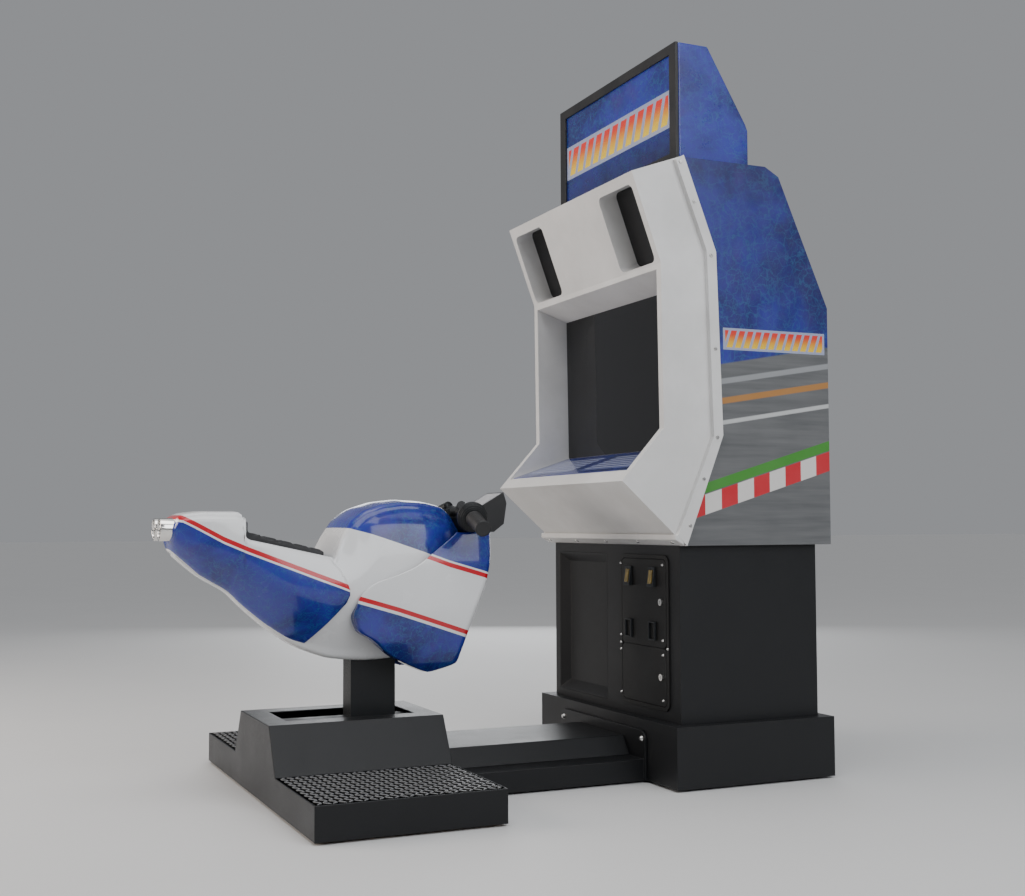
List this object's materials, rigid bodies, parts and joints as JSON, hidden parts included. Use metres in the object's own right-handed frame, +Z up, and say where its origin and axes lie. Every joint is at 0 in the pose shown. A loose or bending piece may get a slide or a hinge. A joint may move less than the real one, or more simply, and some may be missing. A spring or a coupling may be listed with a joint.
{
  "type": "sit-on motorbike racing arcade cabinet",
  "caption": "Sit-on racing arcade machine: a leaning motorbike on a footrest platform, joined by a low beam to a tall tower with a screen, speakers, marquee and coin door.",
  "frame": {"origin": "on the floor, midway between the exhaust tips and the back of the tower, on the machine's middle line", "axes": "+X to the rider's right, +Y from the exhaust towards the screen tower, +Z up"},
  "size_m": [1.228, 1.91, 2.164],
  "materials": {
    "black_rubber": "matte",
    "tread_rubber": "matte",
    "charcoal_paint": "satin",
    "charcoal_laminate": "satin",
    "plain_board": "matte",
    "cast_steel": "matte",
    "dark_steel": "satin",
    "bright_steel": "polished",
    "dark_plastic": "matte",
    "coin_door_paint": "textured",
    "black_gloss": "gloss",
    "amber_lens": "gloss",
    "zinc_steel": "satin",
    "blue_art": "gloss",
    "marquee_art": "gloss",
    "pale_moulding": "textured",
    "shelf_art": "gloss",
    "smoked_glass": "gloss",
    "tube_glass": "gloss",
    "lamp_white": "gloss",
    "blue_gelcoat": "gloss",
    "black_vinyl": "satin",
    "chrome": "polished",
    "dash_print": "gloss",
    "start_lens": "gloss"
  },
  "bodies": {
    "cabinet": {"levelling_feet": "black_rubber", "platform_shell": "charcoal_paint", "platform_base": "plain_board", "tread_plates": "tread_rubber", "pivot_bearings": "cast_steel", "bump_stops": "black_rubber", "beam_channel": "charcoal_paint", "beam_cover": "charcoal_paint", "cabinet_screws": "bright_steel", "tower_plinth": "charcoal_laminate", "lower_cabinet": "charcoal_laminate", "access_panel": "charcoal_laminate", "coin_door_frame": "coin_door_paint", "cash_box": "zinc_steel", "mains_inlet": "dark_plastic", "electronics_tray": "zinc_steel", "left_side_panel": "blue_art", "right_side_panel": "blue_art", "upper_carcass": "charcoal_laminate", "bezel_shroud": "pale_moulding", "speaker_grilles": "black_gloss", "speakers": "dark_plastic", "shelf_panel": "shelf_art", "screen_glass": "smoked_glass", "screen_mask": "dark_plastic", "monitor_tube": "tube_glass", "monitor_chassis": "zinc_steel", "marquee_housing": "charcoal_laminate", "marquee_frame": "dark_plastic", "marquee_panel": "marquee_art", "marquee_lamp": "lamp_white"},
    "lean_bike": {"pivot_shaft": "bright_steel", "lean_column": "dark_steel", "slot_cover": "dark_plastic", "body_shell": "blue_gelcoat", "left_tail_panel": "blue_gelcoat", "right_tail_panel": "blue_gelcoat", "front_fairing": "blue_gelcoat", "seat_pad": "black_vinyl", "exhausts": "chrome", "handlebar": "dark_steel", "left_grip": "black_rubber", "dash_housing": "dark_plastic", "dash_panel": "dash_print"},
    "throttle": {"throttle_grip": "black_rubber"},
    "start": {"start_button": "start_lens"},
    "upper_door": {"upper_coin_door": "coin_door_paint", "upper_door_screws": "bright_steel", "coin_entry_trim": "black_gloss", "coin_mechanisms": "zinc_steel"},
    "lower_door": {"cash_door": "coin_door_paint", "cash_door_screws": "bright_steel"},
    "upper_lock": {"upper_door_lock": "bright_steel"},
    "cash_lock": {"cash_door_lock": "bright_steel"},
    "left_reject": {"left_reject_button": "amber_lens"},
    "right_reject": {"right_reject_button": "amber_lens"},
    "left_flap": {"left_return_flap": "black_gloss"},
    "right_flap": {"right_return_flap": "black_gloss"},
    "rear_door": {"service_door": "coin_door_paint"},
    "rear_lock": {"service_door_lock": "bright_steel"}
  },
  "joints": [
    {"name": "bike_lean", "type": "hinge", "parent": "cabinet", "child": "lean_bike", "pos_m": [0, -0.352, 0.06], "axis": [0, 1, 0], "range_deg": [-15, 15], "stiffness_Nm_per_rad": 2400},
    {"name": "throttle_twist", "type": "hinge", "parent": "lean_bike", "child": "throttle", "pos_m": [0.196, -0.108, 0.768], "axis": [0.9584, -0.1481, -0.244], "range_deg": [-70, 0], "stiffness_Nm_per_rad": 0.6},
    {"name": "start_press", "type": "slide", "parent": "lean_bike", "child": "start", "axis": [0, 0.5, -0.866], "range_m": [0, 0.003], "stiffness_N_per_m": 400},
    {"name": "upper_coin_door_hinge", "type": "hinge", "parent": "cabinet", "child": "upper_door", "pos_m": [0.068, 0.437, 0.5165], "axis": [0, 0, 1], "range_deg": [-110, 0]},
    {"name": "cash_door_hinge", "type": "hinge", "parent": "cabinet", "child": "lower_door", "pos_m": [0.068, 0.437, 0.305], "axis": [0, 0, 1], "range_deg": [-110, 0]},
    {"name": "upper_door_lock_turn", "type": "hinge", "parent": "upper_door", "child": "upper_lock", "pos_m": [0.3045, 0.438, 0.522], "axis": [0, 1, 0], "range_deg": [0, 90]},
    {"name": "cash_door_lock_turn", "type": "hinge", "parent": "lower_door", "child": "cash_lock", "pos_m": [0.3045, 0.438, 0.305], "axis": [0, 1, 0], "range_deg": [0, 90]},
    {"name": "left_reject_press", "type": "slide", "parent": "upper_door", "child": "left_reject", "axis": [0, 1, 0], "range_m": [0, 0.004], "stiffness_N_per_m": 300},
    {"name": "right_reject_press", "type": "slide", "parent": "upper_door", "child": "right_reject", "axis": [0, 1, 0], "range_m": [0, 0.004], "stiffness_N_per_m": 300},
    {"name": "left_return_flap_swing", "type": "hinge", "parent": "upper_door", "child": "left_flap", "pos_m": [0.1155, 0.438, 0.4575], "axis": [1, 0, 0], "range_deg": [0, 45]},
    {"name": "right_return_flap_swing", "type": "hinge", "parent": "upper_door", "child": "right_flap", "pos_m": [0.2565, 0.438, 0.4575], "axis": [1, 0, 0], "range_deg": [0, 45]},
    {"name": "service_door_hinge", "type": "hinge", "parent": "cabinet", "child": "rear_door", "pos_m": [-0.23, 0.918, 0.43], "axis": [0, 0, 1], "range_deg": [0, 110]},
    {"name": "service_lock_turn", "type": "hinge", "parent": "rear_door", "child": "rear_lock", "pos_m": [0.2, 0.917, 0.43], "axis": [0, 1, 0], "range_deg": [0, 90]}
  ]
}
